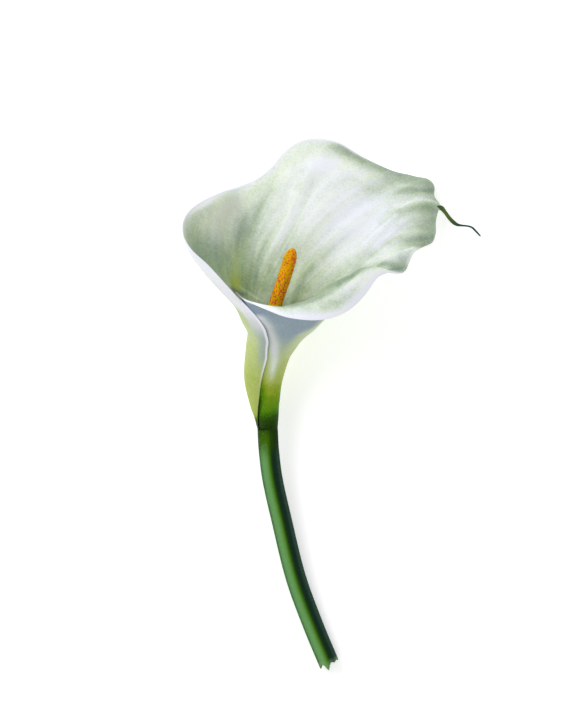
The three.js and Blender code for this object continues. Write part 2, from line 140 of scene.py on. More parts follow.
# Small steps along a curve or over the sheet, from which directions are found
DIRECTION_STEP = 1e-3
LEAVING_STEP = 0.02


def unit(a):
    return a / np.linalg.norm(a, axis=-1, keepdims=True)


def smooth(x, low, high):
    """0 before low, 1 past high and smooth between; low may be above high."""
    t = np.clip((x - low) / (high - low), 0, 1)
    return t * t * (3 - 2 * t)


def bell(x, centre, width):
    return np.exp(-(((x - centre) / width) ** 2))


def mix(a, b, share):
    return a + (b - a) * share


def curve_weights(t):
    """Shares of the start, its slope, the end and its slope at place t of a smooth curve."""
    return 2 * t**3 - 3 * t**2 + 1, t**3 - 2 * t**2 + t, -2 * t**3 + 3 * t**2, t**3 - t**2


def through(knots, rows, at):
    """Smooth curve through rows of values at rising knots."""
    at = np.asarray(at, float)
    last = len(knots) - 1
    before = np.maximum(np.arange(last + 1) - 1, 0)
    after = np.minimum(np.arange(last + 1) + 1, last)
    slope = (rows[after] - rows[before]) / (knots[after] - knots[before])[:, None]
    i = np.clip(np.searchsorted(knots, at, side="right") - 1, 0, last - 1)
    span = knots[i + 1] - knots[i]
    start, leave, end, arrive = curve_weights(np.clip((at - knots[i]) / span, 0, 1)[..., None])
    span = span[..., None]
    return (start * rows[i] + leave * span * slope[i]
            + end * rows[i + 1] + arrive * span * slope[i + 1])


def knots_by_length(rows):
    steps = np.linalg.norm(np.diff(rows[:, :3], axis=0), axis=1)
    return np.r_[0, np.cumsum(steps)] / steps.sum()


def along_curve(knots, rows, at):
    """Values on a curve whose rows start with a place, and its directions ahead, right and up."""
    ahead = through(knots, rows, np.minimum(at + DIRECTION_STEP, knots[-1]))
    behind = through(knots, rows, np.maximum(at - DIRECTION_STEP, 0))
    tangent = unit((ahead - behind)[..., :3])
    right = unit(np.cross(tangent, [0, 0, 1.0]))
    return through(knots, rows, at), tangent, right, np.cross(right, tangent)


TUBE_KNOTS = TUBE_RINGS[:, 0]
TUBE_CURVE = TUBE_RINGS[:, 1:]
TUBE_END = TUBE_KNOTS[-1]
RIM_KNOTS = knots_by_length(RIM)
heading, rise = np.radians(RIM[:, 3:5]).T
RIM_CURVE = np.c_[RIM[:, :3], np.cos(heading) * np.cos(rise), np.sin(heading) * np.cos(rise),
                  np.sin(rise), RIM[:, 5:]]
TIP_AT = RIM_KNOTS[TIP]


def flare(v):
    """0 in the tube, and on to 1 at the rim."""
    return np.clip((v - TUBE_END) / (1 - TUBE_END), 0, 1)


def tube_point(u, v):
    """Point of the rolled tube, u across the sheet from the outer to the inner margin."""
    row, _, right, up = along_curve(TUBE_KNOTS, TUBE_CURVE, v)
    half_width, half_depth, outer, inner, lift, tuck = (row[..., 3 + i] for i in range(6))
    place = np.where(u < 0.5, u + MARGIN_SPREAD * u * (1 - 2 * u) ** 2, u)
    angle = np.radians(mix(outer, inner, place))
    layer = (lift * smooth(1 - place / MARGIN_REACH, 0, 1)
             - tuck * smooth(1 - (1 - place) / MARGIN_REACH, 0, 1))
    return (row[..., :3] + right * ((half_width + layer) * np.sin(angle))[..., None]
            + up * ((half_depth + layer) * np.cos(angle))[..., None])


def sheet_point(u, v):
    """Point of the sheet's middle surface: the tube first, then the flare out to the rim."""
    low = tube_point(u, np.minimum(v, TUBE_END))
    t = flare(v)[..., None]
    tube_end = np.full_like(u, TUBE_END)
    throat = tube_point(u, tube_end)
    leaving = unit(throat - tube_point(u, tube_end - LEAVING_STEP))
    row = through(RIM_KNOTS, RIM_CURVE, u)
    rim, arriving = row[..., :3], unit(row[..., 3:6])
    rim_pull, throat_pull = row[..., 6:7], row[..., 7:8]
    length = np.linalg.norm(rim - throat, axis=-1, keepdims=True)
    start, leave, end, arrive = curve_weights(t)
    high = (start * throat + leave * length * throat_pull * leaving
            + end * rim + arrive * length * rim_pull * arriving)
    return np.where(t > 0, high, low)


def sheet_normal(u, v):
    """Direction out of the flower, across the sheet."""
    step = DIRECTION_STEP
    across = sheet_point(np.minimum(u + step, 1), v) - sheet_point(np.maximum(u - step, 0), v)
    along = sheet_point(u, np.minimum(v + step, 1)) - sheet_point(u, np.maximum(v - step, 0))
    return unit(np.cross(along, across))


def vein_place(u, v):
    """Place across the veins, from -1 at the outer margin over 0 at the midrib to 1."""
    t = flare(v)
    midrib = mix(MIDRIB_START, TIP_AT, t**MIDRIB_BEND)
    place = np.where(u < midrib, (u - midrib) / midrib, (u - midrib) / (1 - midrib))
    return place * (1 + VEIN_CONVERGENCE * t**CONVERGENCE_BEND * (1 - np.abs(place)))


def fold_height(u, v):
    """Height of the folds: none in the tube, on the lip or at the margins, most at the tip."""
    place, t = vein_place(u, v), flare(v)
    height = sum(amount * np.cos(2 * np.pi * place / spacing + phase)
                 for spacing, amount, phase in FOLDS)
    body = smooth(t, *FOLDS_RISE) * (1 - smooth(u, *FOLDS_END)) * smooth(u, *FOLDS_START)
    toward_tip = np.minimum(bell(u, TIP_PLACE, TIP_WIDTH) + RIM_FOLD_SHARE, 1)
    return height * body * (1 - smooth(t, *FOLDS_CALM) * (1 - toward_tip))


# Tone of the inner face, from 0 for dark grey-green to 1 for white with a breath of lavender.
# It holds painted shade and painted light of the folds as well as the sheet's own colour.
# Soft patches of painted shade and light on it: vein place, flare, half width, half length, amount.
INNER_PATCHES = [
    # left lobe
    (-0.94, 0.7, 0.06, 0.18, -0.38), (-0.86, 0.52, 0.04, 0.1, -0.02), (-0.76, 0.6, 0.04, 0.12, 0.18),
    (-0.83, 0.84, 0.05, 0.1, -0.12), (-0.86, 0.95, 0.04, 0.05, 0.26), (-0.63, 0.64, 0.04, 0.14, -0.12),
    (-0.64, 0.4, 0.03, 0.1, 0.14), (-0.75, 0.18, 0.05, 0.05, 0.22),
    # middle, from the throat to the far rim
    (-0.5, 0.42, 0.03, 0.14, -0.14), (-0.42, 0.82, 0.09, 0.07, 0.12), (-0.42, 0.56, 0.03, 0.1, 0.05),
    (-0.3, 0.92, 0.05, 0.06, 0.18), (-0.22, 0.66, 0.05, 0.1, 0.12), (-0.1, 0.6, 0.06, 0.08, 0.12),
    (-0.38, 0.34, 0.08, 0.1, -0.04), (-0.28, 0.4, 0.06, 0.08, -0.04), (-0.35, 0.06, 0.2, 0.05, 0.16),
    (-0.17, 0.08, 0.06, 0.05, 0.22), (-0.62, 0.07, 0.08, 0.05, 0.17), (-0.3, 1.0, 0.3, 0.03, -0.06),
    (-0.05, 0.17, 0.04, 0.08, 0.1), (0.04, 0.18, 0.06, 0.1, 0.24), (-0.13, 0.15, 0.05, 0.12, 0.2),
    # folds toward the tip
    (-0.09, 0.86, 0.04, 0.06, -0.22), (0.02, 0.72, 0.05, 0.06, -0.16), (0.15, 0.62, 0.03, 0.08, 0.1),
    (0.11, 0.38, 0.05, 0.14, -0.12), (0.19, 0.58, 0.02, 0.12, -0.08), (0.24, 0.46, 0.03, 0.1, -0.12),
    (0.0, 0.92, 0.015, 0.12, 0.3), (0.05, 0.84, 0.03, 0.1, -0.14), (0.25, 0.84, 0.03, 0.12, -0.22),
    (0.34, 0.86, 0.04, 0.12, 0.06), (0.51, 0.9, 0.06, 0.14, -0.71), (0.44, 0.68, 0.04, 0.12, -0.3),
    # lip
    (0.72, 0.84, 0.05, 0.05, 0.28), (0.82, 0.92, 0.07, 0.05, -0.17), (0.8, 0.8, 0.06, 0.05, 0.2),
    (0.93, 0.92, 0.03, 0.1, -0.09), (0.6, 0.91, 0.02, 0.06, -0.22), (0.65, 0.73, 0.03, 0.04, 0.3),
    (0.7, 0.82, 0.03, 0.03, -0.3), (0.39, 0.96, 0.08, 0.03, -0.19),
    # shallow hollows between the folds, mostly painted shade
    (-0.2, 0.82, 0.05, 0.04, -0.2), (-0.5, 0.42, 0.04, 0.2, -0.1), (-0.71, 0.5, 0.04, 0.16, 0.16),
    (0.17, 0.42, 0.04, 0.07, -0.18), (0.22, 0.73, 0.04, 0.06, -0.13), (0.0, 0.15, 0.03, 0.04, -0.15),
]
# Painted shade and light of the folds of the inner face as looked down on: half width, amount,
# and points along each
FOLD_STROKES = [
    # painted shade in the hollows, from the left lobe round to the lip
    (3.6, -0.07, [(-36, 78), (-37, 86), (-36, 94), (-32, 102)]),
    (1.8, -0.12, [(-41, 82), (-38.5, 90), (-37, 97), (-33, 104), (-28.5, 110)]),
    (1.3, -0.04, [(-39, 60), (-37.5, 70), (-35, 78), (-32, 84), (-28, 90)]),
    (2.2, -0.15, [(-18, 105), (-15.5, 114), (-13, 122)]),
    (5.0, -0.08, [(-17, 124), (-8, 127), (4, 127.5)]),
    (2.4, -0.12, [(-9, 100), (-1, 107), (6, 111.5), (14, 115)]),
    (1.8, -0.09, [(16, 101), (24, 104), (33, 105.5), (39, 107), (54, 107.3)]),
    (1.4, -0.1, [(38, 107), (54, 107)]), (1.8, -0.1, [(26, 99), (34, 102), (43, 103)]),
    (1.8, -0.18, [(31, 95), (38, 97.5), (44, 98.5), (51, 98.5)]),
    (1.4, -0.1, [(32, 93), (40, 96), (47, 97)]), (2.6, -0.2, [(34.5, 69), (34.5, 74), (36, 79)]),
    (1.6, -0.24, [(1, 57.2), (6.5, 61.2), (10, 63.6), (15, 67.2), (21, 69.6), (27, 70.0), (33, 69.6)]),
    (1.6, -0.13, [(-20.5, 47), (-17.2, 57), (-13.5, 64), (-8, 71)]),
    (2.0, -0.06, [(-7, 70), (-2, 75), (3, 80)]),
    (2.6, -0.14, [(17, 72), (27, 77.5), (34, 80), (43, 81)]),
    (1.8, -0.11, [(24, 79), (34, 82.5), (42, 83.5), (53, 83.5)]),
    (3.5, -0.05, [(-8, 47), (0, 47.5), (8, 50)]),
    (1.3, -0.05, [(-32, 66), (-30, 73), (-26.5, 78), (-22, 84), (-17.5, 90), (-12.5, 97), (-7, 102)]),
    (2.2, -0.04, [(-3.5, 57), (1.5, 62), (5.5, 67), (10, 71), (15, 74), (20.5, 78)]),
    (1.9, -0.06, [(23, 95), (30, 96), (36.5, 98)]), (1.8, -0.09, [(21.5, 89), (28, 92), (36, 94)]),
    (2.0, -0.08, [(-7, 48), (1.5, 51), (6.5, 52), (11.5, 57), (15, 60)]),
    # painted light on the ridges between them
    (1.5, 0.08, [(-53, 73), (-52.5, 66), (-51, 60)]), (1.8, 0.12, [(-29, 74), (-27.5, 67), (-26, 59)]),
    (1.2, 0.1, [(-22.5, 48), (-20.5, 57), (-17.5, 66), (-14.5, 74)]),
    (1.7, 0.03, [(-34.5, 61), (-33, 70), (-30, 78), (-26.5, 84), (-21, 91)]),
    (1.8, 0.08, [(-18, 82), (-11, 89.5), (-5, 95), (1, 102)]),
    (2.2, 0.05, [(-19, 58), (-8.5, 70), (0, 80), (8, 88)]),
    (4.0, 0.08, [(-24, 47), (-20, 53), (-16, 60)]), (5.0, 0.11, [(-35, 47), (-32, 56), (-28, 68)]),
    (2.0, 0.07, [(-19, 52), (-12, 54), (-5, 55)]), (2.4, 0.09, [(-20, 122), (-23, 116), (-26, 110)]),
    (3.0, 0.08, [(-10, 121), (0, 121), (7, 122.5)]), (2.6, 0.1, [(4, 124), (10, 122), (15, 120)]),
    (2.6, 0.1, [(18, 116), (25, 114.5), (34, 114)]), (1.3, 0.12, [(30, 110), (39, 109.2), (48, 108.8)]),
    (1.6, 0.2, [(43, 105), (53, 104)]), (1.2, 0.06, [(39, 100), (47, 101)]),
    (1.8, 0.08, [(40, 94), (52, 94)]), (1.4, 0.05, [(27, 84.5), (36, 86.5), (51, 86)]),
    (1.3, 0.06, [(42, 79.5), (51, 81)]), (1.3, 0.07, [(-6, 53), (2, 57), (10, 62)]),
    # painted highlight, a light line of the sheet above the rolled corner
    (0.5, 0.2, [(-50, 61.5), (-47, 59.2), (-44, 57.2), (-41, 55.2), (-38, 53.2), (-34, 51.5)]),
]
STROKE_FADE = 4.0
# Painted shadow in the dark hollow behind the rolled corner
CORNER_HOLLOW = [(1.2, 1.0, [(-53, 60), (-48.5, 56.4), (-46, 55.2), (-42, 53.8)])]
# Patches of hue, toward lavender below 0 and toward yellow-green above, and of yellow and beige
HUE_PATCHES = [
    (-0.05, 0.62, 0.3, 0.14, -0.3), (-0.5, 0.9, 0.3, 0.06, 0.3), (0.45, 0.9, 0.09, 0.12, -0.45),
    (0.92, 0.98, 0.07, 0.05, -0.55), (-0.86, 0.78, 0.06, 0.16, 0.3), (-0.42, 0.82, 0.07, 0.04, -0.4),
    (-0.14, 0.76, 0.03, 0.1, -0.35), (0.08, 0.6, 0.06, 0.08, -0.15), (-0.7, 1.0, 0.3, 0.02, -0.4),
]
YELLOW_PATCHES = [(-0.68, 0.19, 0.06, 0.1, 1.0), (-0.66, 0.36, 0.03, 0.12, 0.4)]
BEIGE_PATCHES = [(-0.76, 0.76, 0.09, 0.14, 1.0)]

# A range below is two places between which something comes in, or goes out if they fall. A pair
# of ranges says where it comes in and where it goes out again.

# Tone of the inner face by flare, darker in the throat and, with painted shade, on the left lobe: its
# value in the throat, then what it gains over each range
LOBE_TONE = (0.31, (0.46, 0.42, 0.86), (0.1, 0.88, 0.98))
MIDDLE_TONE = (0.39, (0.53, 0.1, 0.5))
LIP_TONE = (0.41, (0.6, 0.72, 0.97))
THROAT_LIFT = (0.03, 0.5, 0.3)
# Vein places between which the middle takes over from the left lobe, and the lip from the middle
LOBE_TO_MIDDLE = (-0.66, -0.5)
MIDDLE_TO_LIP = (0.54, 0.6)
# The middle grows light earlier on its right side
MIDDLE_SLANT = 0.15
MIDDLE_SLANT_FROM = -0.15
# Painted shade, grey-green, toward the far rim and the tip: vein place and flare where it starts
RIM_SHADE_START = np.array([(-0.5, 0.915), (-0.1, 0.775), (0.21667, 0.68)])
RIM_SHADE_END = 0.97
RIM_SHADE = 0.5
RIM_SHADE_PLACE = ((-0.5, -0.4), (0.34, 0.28))
OUTER_RIM_SHADE_FLARE = (0.9, 1.0)
OUTER_RIM_SHADE_PLACE = ((-0.45, -0.3), (0.6, 0.5))
HOLLOW_END = (0.3, 0.15)
# Hue of the inner face, warmer in the throat and on the left lobe
HUE = (0.45, (0.45, 0.45, 0.1))
LOBE_HUE = 0.35
LOBE_HUE_PLACE = (-0.45, -0.65)
LOBE_HUE_FLARE = (0.6, 0.35)

# The outside: tone by place along the sheet, and how far the flap runs ahead of it
OUTER_RISE = np.array([
    (0.0, 0.0), (0.05, 0.04), (0.12, 0.13), (0.18, 0.17), (0.23, 0.24), (0.3, 0.36),
    (0.4, 0.5), (0.5, 0.6), (0.62, 0.68), (0.75, 0.8), (0.85, 0.9), (1.0, 0.96),
])
FLAP_LEAD = np.array([
    (0.0, 0.0), (0.06, 0.03), (0.1, 0.2), (0.14, 0.2), (0.2, 0.17),
    (0.28, 0.04), (0.4, -0.02), (0.6, -0.02), (0.8, 0.08), (1.0, 0.0),
])
# Where the outer margin lies over the inner layer: place along, place across
MARGIN_OVER = np.array([
    (0.0, 1.0), (0.07, 0.95), (0.12, 0.89), (0.18, 0.855), (0.25, 0.835), (0.32, 0.835),
    (0.4, 0.848), (0.5, 0.872), (0.6, 0.9), (0.7, 0.935), (0.8, 0.965), (0.9, 0.99),
])
# A painted highlight on a ridge of the inner layer beside the margin: place along, place across
RIDGE = np.array([
    (0.29, 0.779), (0.36, 0.797), (0.42, 0.814), (0.46, 0.832), (0.51, 0.861), (0.54, 0.874),
    (0.57, 0.888), (0.61, 0.902), (0.65, 0.93), (0.7, 0.95),
])
RIDGE_WIDTH = 0.027
RIDGE_ALONG = ((0.24, 0.36), (0.74, 0.66))
RIDGE_TONE = 0.88
RIDGE_COVER = 0.85
RIDGE_PALE = 0.8
RIDGE_PALE_ALONG = (0.34, 0.46)
# The flap is the outer layer, and the inner layer shows beside it in the shade of its margin
FLAP_ACROSS = (0.22, 0.1)
INNER_LAYER_ACROSS = (0.35, 0.55)
MARGIN_SHADE = 0.1
MARGIN_SHADE_WIDTH = 0.07
MARGIN_SHADE_ALONG = (0.33, 0.24)
# Painted shade makes the back of the left lobe greyer
LOBE_SHADE = 0.12
LOBE_SHADE_ACROSS = (0.22, 0.12)
LOBE_SHADE_ALONG = ((0.52, 0.62), (0.96, 0.86))
# The blue-grey shade under the lip. Its left side steps over, and it reaches higher at its right.
LIP_SHADE_RISE = (0.37, 0.58)
LIP_SHADE_END = (0.8, 0.7)
LIP_SHADE_SIDE_BELOW = (0.735, 0.8)
LIP_SHADE_SIDE_ABOVE = (0.695, 0.74)
LIP_SHADE_STEP = (0.56, 0.65)
LIP_SHADE_RIGHT = 0.86
LIP_SHADE_SLANT = 1.6
DEEP_SHADE_ACROSS = (0.84, 0.96)
# The flap's edge: blue-grey painted shade along the tube and pale above it
FLAP_EDGE_SHADE = 0.68
FLAP_EDGE_ALONG = ((0.3, 0.42), (0.62, 0.53))
FLAP_EDGE_ACROSS = (0.042, 0.01)
PALE_EDGE_ACROSS = (0.046, 0.024)
PALE_EDGE_ALONG = (0.5, 0.6)
# The pale rim, the sheet's white with painted highlight: vein places where it is wide and where it is
# seen at all, and its ranges
WIDE_RIM_PLACES = ((-0.7, -0.85), (0.6, 0.7))
SEEN_RIM_PLACES = ((-0.28, -0.45), (0.5, 0.62))
THIN_RIM = (0.992, 0.998)
WIDE_RIM = (0.978, 0.992)
FAINT_RIM = 0.12
PALE_MARGIN_ACROSS = (0.006, 0.002)
PALE_MARGIN_ALONG = (0.22, 0.4)
# The inner corner, which lies in the shade of the outer margin
CORNER_ACROSS = (0.976, 0.99)
CORNER_ALONG = (0.6, 0.7)


def rising(x, start, *gains):
    for amount, low, high in gains:
        start = start + amount * smooth(x, low, high)
    return start


def within(x, come_in, go_out):
    return smooth(x, *come_in) * smooth(x, *go_out)


def either(x, one, other):
    return np.maximum(smooth(x, *one), smooth(x, *other))


def between(low, high, share):
    """Range part of the way from one range to another."""
    return (mix(a, b, share) for a, b in zip(low, high))


def patches(x, y, rows):
    return sum(amount * bell(x, cx, wx) * bell(y, cy, wy) for cx, cy, wx, wy, amount in rows)


def strokes(x, y, rows):
    """Soft lines by distance from them, fading at both ends."""
    total = np.zeros_like(x)
    for width, amount, points in rows:
        line = np.array(points, float)
        lengths = np.r_[0, np.cumsum(np.linalg.norm(np.diff(line, axis=0), axis=1))]
        nearest, place = np.full_like(x, np.inf), np.zeros_like(x)
        for (ax, ay), (dx, dy), start, end in zip(line, np.diff(line, axis=0), lengths, lengths[1:]):
            share = np.clip(((x - ax) * dx + (y - ay) * dy) / (dx * dx + dy * dy), 0, 1)
            far = np.hypot(x - ax - share * dx, y - ay - share * dy)
            place = np.where(far < nearest, mix(start, end, share), place)
            nearest = np.minimum(far, nearest)
        fade = smooth(np.minimum(place, lengths[-1] - place), 0, STROKE_FADE)
        total += amount * bell(nearest, 0, width) * fade
    return total


def inner_look(place, t, x, y):
    """Numbers for inner face colours with painted shade and light, by vein place and flare, and place
    from above.
    """
    middle = rising(t + MIDDLE_SLANT * (place - MIDDLE_SLANT_FROM), *MIDDLE_TONE)
    tone = mix(rising(t, *LOBE_TONE), middle, smooth(place, *LOBE_TO_MIDDLE))
    tone = mix(tone, rising(t, *LIP_TONE), smooth(place, *MIDDLE_TO_LIP))
    shade_start = np.interp(place, *RIM_SHADE_START.T)
    tone -= RIM_SHADE * smooth(t, shade_start, RIM_SHADE_END) * within(place, *RIM_SHADE_PLACE)
    tone = rising(t, tone, THROAT_LIFT)
    hue = rising(t, *HUE) + LOBE_HUE * smooth(place, *LOBE_HUE_PLACE) * smooth(t, *LOBE_HUE_FLARE)
    return {
        "tone": tone + patches(place, t, INNER_PATCHES) + strokes(x, y, FOLD_STROKES),
        "hue": hue + patches(place, t, HUE_PATCHES),
        "yellow": np.clip(patches(place, t, YELLOW_PATCHES), 0, 1),
        "beige": patches(place, t, BEIGE_PATCHES),
        "painted_hollow_shadow": strokes(x, y, CORNER_HOLLOW) * smooth(t, *HOLLOW_END),
    }


def outer_look(u, v):
    """Numbers for the outer face's colours and painted shade, by place across and along the sheet."""
    place, t = vein_place(u, v), flare(v)
    beside = smooth(np.interp(v, *MARGIN_OVER.T) - u, MARGIN_SHADE_WIDTH, 0)
    beside = beside * smooth(u, *INNER_LAYER_ACROSS)
    ridge = bell(u, np.interp(v, *RIDGE.T), RIDGE_WIDTH) * within(v, *RIDGE_ALONG)
    tone = np.interp(v, *OUTER_RISE.T) + smooth(u, *FLAP_ACROSS) * np.interp(v, *FLAP_LEAD.T)
    tone -= MARGIN_SHADE * beside * smooth(v, *MARGIN_SHADE_ALONG)
    tone -= RIM_SHADE * smooth(t, *OUTER_RIM_SHADE_FLARE) * within(place, *OUTER_RIM_SHADE_PLACE)
    tone -= LOBE_SHADE * smooth(u, *LOBE_SHADE_ACROSS) * within(v, *LOBE_SHADE_ALONG)
    side = between(LIP_SHADE_SIDE_BELOW, LIP_SHADE_SIDE_ABOVE, smooth(v, *LIP_SHADE_STEP))
    higher = LIP_SHADE_SLANT * np.maximum(u - LIP_SHADE_RIGHT, 0)
    under_lip_shadow = (smooth(v, *LIP_SHADE_RISE) * (1 - RIDGE_COVER * ridge)
                 * smooth(v - higher, *LIP_SHADE_END) * smooth(u, *side))
    flap_edge = within(v, *FLAP_EDGE_ALONG) * smooth(u, *FLAP_EDGE_ACROSS)
    pale_edge = smooth(u, *PALE_EDGE_ACROSS) * smooth(v, *PALE_EDGE_ALONG)
    return {
        "outer_tone": mix(tone, RIDGE_TONE, RIDGE_COVER * ridge),
        # pale edge of the flap, and painted highlight of the ridge
        "pale": np.maximum(pale_edge, RIDGE_PALE * ridge * smooth(v, *RIDGE_PALE_ALONG)),
        "painted_shade": np.clip(under_lip_shadow + FLAP_EDGE_SHADE * flap_edge, 0, 1),
        "deep_painted_shade": smooth(u, *DEEP_SHADE_ACROSS),
    }


def edge_look(u, v):
    """Pale edge, with painted highlight: broad on the left lobe and the lip, thin at the top, gone
    round the tip.
    """
    place = vein_place(u, v)
    rim = smooth(v, *between(THIN_RIM, WIDE_RIM, either(place, *WIDE_RIM_PLACES)))
    rim = rim * mix(FAINT_RIM, 1, either(place, *SEEN_RIM_PLACES))
    margin = smooth(np.minimum(u, 1 - u), *PALE_MARGIN_ACROSS) * smooth(v, *PALE_MARGIN_ALONG)
    # painted shade on the inner corner, where the pale edge stops
    corner_shade = smooth(u, *CORNER_ACROSS) * smooth(v, *CORNER_ALONG)
    return {"edge": np.maximum(rim, margin) * (1 - corner_shade), "corner_shade": corner_shade}


def new_object(name, points, faces, attributes):
    """A smooth mesh object from millimetre points, with per-point numbers for its material."""
    mesh = bpy.data.meshes.new(name)
    mesh.from_pydata((np.asarray(points) * MM).tolist(), [], faces)
    for key, values in attributes.items():
        layer = mesh.attributes.new(key, "FLOAT", "POINT")
        layer.data.foreach_set("value", np.asarray(values, np.float32))
    mesh.polygons.foreach_set("use_smooth", np.ones(len(mesh.polygons), bool))
    mesh.update()
    obj = bpy.data.objects.new(name, mesh)
    bpy.context.scene.collection.objects.link(obj)
    return obj


def grid_faces(rows, columns, start=0, flip=False):
    """Quads of a grid of rows by columns of points."""
    r, c = np.meshgrid(np.arange(rows - 1), np.arange(columns - 1), indexing="ij")
    a = (r * columns + c).ravel() + start
    quads = np.c_[a, a + columns, a + columns + 1, a + 1]
    return (quads[:, ::-1] if flip else quads).tolist()


# The spathe: one closed sheet with a rounded edge all round

SHEET_COLUMNS = 250
SHEET_ROWS = 150
EDGE_STEPS = 4
SPREAD_STEPS = 4001
# Where columns and rows lie closer: how much, place and width, and how much on the flare
CLOSER_COLUMNS = [(0.9, TIP_PLACE, TIP_WIDTH), (2.0, 0, 0.03), (2.0, 1, 0.03)]
CLOSER_ROWS = [(1.5, 1, 0.02)]
FLARE_ROWS = (1.2, 0.5, 0.6)
# The sheet thins to this share at its edge, over these widths along and across it
EDGE_THICKNESS = 0.62
RIM_THINNING = 0.05
MARGIN_THINNING = 0.02


def spread(count, bands, *gains):
    """Places from 0 to 1, closer together in the bands and past the gains."""
    fine = np.linspace(0, 1, SPREAD_STEPS)
    weight = rising(fine, 1, *gains) + sum(more * bell(fine, at, wide) for more, at, wide in bands)
    total = np.cumsum(np.r_[0, (weight[1:] + weight[:-1]) / 2])
    return np.interp(np.linspace(0, total[-1], count), total, fine)


def border_places(rows, columns):
    """Places in the grid once round its border, and the place just inside each."""
    loop = np.array([(0, c) for c in range(columns)] + [(r, columns - 1) for r in range(1, rows)]
                    + [(rows - 1, c) for c in range(columns - 2, -1, -1)]
                    + [(r, 0) for r in range(rows - 2, 0, -1)])
    beside = np.clip(loop, 1, (rows - 2, columns - 2))
    return loop @ np.array((columns, 1)), beside @ np.array((columns, 1))


def build_spathe():
    u, v = np.meshgrid(spread(SHEET_COLUMNS, CLOSER_COLUMNS),
                       spread(SHEET_ROWS, CLOSER_ROWS, FLARE_ROWS))
    normal = sheet_normal(u, v)
    middle = sheet_point(u, v) + normal * fold_height(u, v)[..., None]
    look = {"vein": vein_place(u, v), "flare": flare(v), "along": v}
    look |= inner_look(look["vein"], look["flare"], middle[..., 0], middle[..., 1])
    look |= outer_look(u, v) | edge_look(u, v)
    thinning = smooth(1 - v, 0, RIM_THINNING) * smooth(np.minimum(u, 1 - u), 0, MARGIN_THINNING)
    half = (SHEET_THICKNESS / 2 * mix(EDGE_THICKNESS, 1, thinning)).reshape(-1, 1)
    middle, normal = middle.reshape(-1, 3), normal.reshape(-1, 3)
    points = [middle + normal * half, middle - normal * half]
    faces = grid_faces(SHEET_ROWS, SHEET_COLUMNS)
    faces += grid_faces(SHEET_ROWS, SHEET_COLUMNS, u.size, flip=True)

    # strips round the border, from the outside over the rounded edge to the inside
    border, beside = border_places(SHEET_ROWS, SHEET_COLUMNS)
    edge = middle[border]
    outward = unit(np.cross(normal[border], unit(np.roll(edge, -1, 0) - np.roll(edge, 1, 0))))
    outward *= np.sign(((edge - middle[beside]) * outward).sum(1))[:, None]
    strips = [border]
    for step in range(1, EDGE_STEPS):
        angle = math.pi / 2 - math.pi * step / EDGE_STEPS
        turned = outward * math.cos(angle) + normal[border] * math.sin(angle)
        strips.append(sum(len(part) for part in points) + np.arange(len(border)))
        points.append(edge + turned * half[border])
    strips.append(border + u.size)
    for one, other in zip(strips, strips[1:]):
        faces += np.c_[one, np.roll(one, -1), np.roll(other, -1), other].tolist()

    def all_points(values):
        flat = values.reshape(-1)
        return np.r_[flat, flat, np.tile(flat[border], EDGE_STEPS - 1)]

    attributes = {key: all_points(values) for key, values in look.items()}
    attributes["inside"] = np.r_[np.zeros(u.size), np.ones(u.size),
                                 np.repeat(np.arange(1, EDGE_STEPS) / EDGE_STEPS, len(border))]
    return new_object("spathe_bract", np.concatenate(points), faces, attributes)


# The stalk, the tube's foot and the club lie on one axis.

AXIS = np.array([*STALK_AXIS, TUBE_CURVE[0, :3], *SPADIX_AXIS], float)
AXIS_KNOTS = knots_by_length(AXIS)
AXIS_LENGTH = np.linalg.norm(np.diff(AXIS, axis=0), axis=1).sum()
SHOULDER_AT = AXIS_KNOTS[len(STALK_AXIS)]
SEAT_AT = AXIS_KNOTS[len(STALK_AXIS) + 1 + SPADIX_SEAT]
ROUND_END_LEAST = 0.02


def turns(sides):
    return np.linspace(0, 2 * np.pi, sides, endpoint=False)


def round_end(share):
    """Share of the radius left toward a round end, from 0 at the end to 1 where it begins."""
    return np.sqrt(np.maximum(1 - (1 - np.minimum(share, 1)) ** 2, ROUND_END_LEAST))


def rings(values, sides):
    return np.repeat(values[:, None], sides, 1)


def tube_mesh(name, curve, radius, angles, height, look, reach=None):
    """Closed body of rings along a curve, with radius and reach given per ring and angle."""
    centre, tangent, right, up = (part[:, None] for part in curve)
    points = centre[..., :3] + (right * np.sin(angles)[:, None]
                                + up * np.cos(angles)[:, None]) * radius[..., None]
    if reach is not None:
        points = points + tangent * reach[..., None]
    count, sides = radius.shape
    r, s = np.meshgrid(np.arange(count - 1), np.arange(sides), indexing="ij")
    a = (r * sides + s).ravel()
    b = (r * sides + (s + 1) % sides).ravel()
    faces = np.c_[a, b, b + sides, a + sides].tolist()
    first, last = count * sides, count * sides + 1
    for k in range(sides):
        n = (k + 1) % sides
        faces.append([first, n, k])
        faces.append([last, (count - 1) * sides + k, (count - 1) * sides + n])
    look = look | {"around": rings(np.sin(angles), count).T, "height": rings(height, sides)}
    attributes = {key: np.r_[values.reshape(-1), values[0].mean(), values[-1].mean()]
                  for key, values in look.items()}
    ends = points[[0, -1]].mean(1)
    return new_object(name, np.concatenate([points.reshape(-1, 3), ends]), faces, attributes)


# The stalk, torn at its lower end

STALK_SEED = 7
STALK_SIDES = 144
STALK_STEPS = 260
FIRST_RING = 0.012
SHOULDER_GAP = 0.02
CRISP = 0.04
# Fine ridges of the skin, and how far and how often they sway
SKIN_RIDGES = 17
SKIN_RIDGE_HEIGHT = 0.035
SKIN_SWAY = 3
SKIN_SWAY_TURN = 5
# The torn end: fine splinters, and how far up the stalk the tear and its colour reach
SPLINTER_REACH = 0.28
TEAR_FADE = 0.03
TEAR_COLOUR_FADE = 0.02
